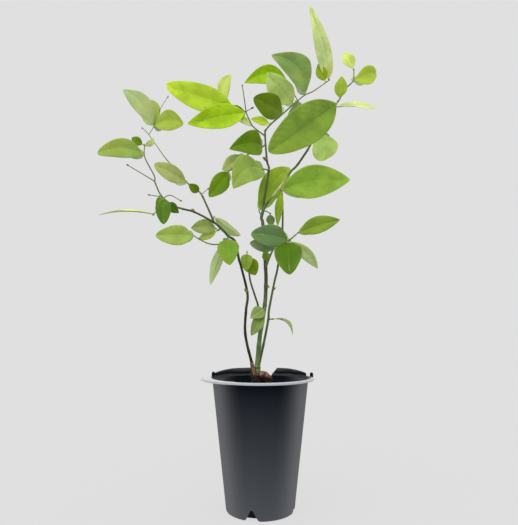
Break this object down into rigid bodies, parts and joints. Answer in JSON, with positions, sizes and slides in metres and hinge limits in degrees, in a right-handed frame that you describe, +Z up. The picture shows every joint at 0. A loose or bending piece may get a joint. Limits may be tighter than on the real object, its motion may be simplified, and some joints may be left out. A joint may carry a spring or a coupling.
{
  "type": "potted blueberry bush",
  "caption": "Young blueberry bush with slim arching stems and pointed oval leaves, standing in a tapered black nursery pot filled with potting mix.",
  "frame": {"origin": "middle of the pot's flat underside", "axes": "+Z up along the pot's axis, -Y towards the front of the plant, +X to its right seen from the front"},
  "size_m": [0.2806, 0.2218, 0.555],
  "materials": {
    "pot_plastic": "black moulded polypropylene with a soft sheen, paler where light grazes it",
    "potting_mix": "dark, damp bark and peat mix",
    "crown_bark": "reddish brown flaky bark, rough",
    "stem_bark": "thin young bark, dark green to brown, satin",
    "foliage": "fresh green leaves, satin above and paler beneath"
  },
  "bodies": {
    "root": {"pot": "pot_plastic", "potting_mix": "potting_mix", "trunk": "crown_bark", "left_stem": "stem_bark", "left_bough": "stem_bark", "left_upper_bough": "stem_bark", "middle_stem": "stem_bark", "middle_stem_upper": "stem_bark", "upper_bough": "stem_bark", "right_bough": "stem_bark", "side_stem": "stem_bark", "right_stem": "stem_bark", "right_stem_upper": "stem_bark", "foliage_top": "foliage", "foliage_top_right": "foliage", "foliage_bright": "foliage", "foliage_upper_left": "foliage", "foliage_middle_left": "foliage", "foliage_right": "foliage", "foliage_fork": "foliage", "foliage_centre": "foliage", "foliage_centre_left": "foliage", "foliage_left_hang": "foliage", "foliage_left_low": "foliage", "foliage_left_back": "foliage", "foliage_left_outer": "foliage", "foliage_left_upper": "foliage", "foliage_low": "foliage", "foliage_low_right": "foliage"}
  },
  "joints": []
}
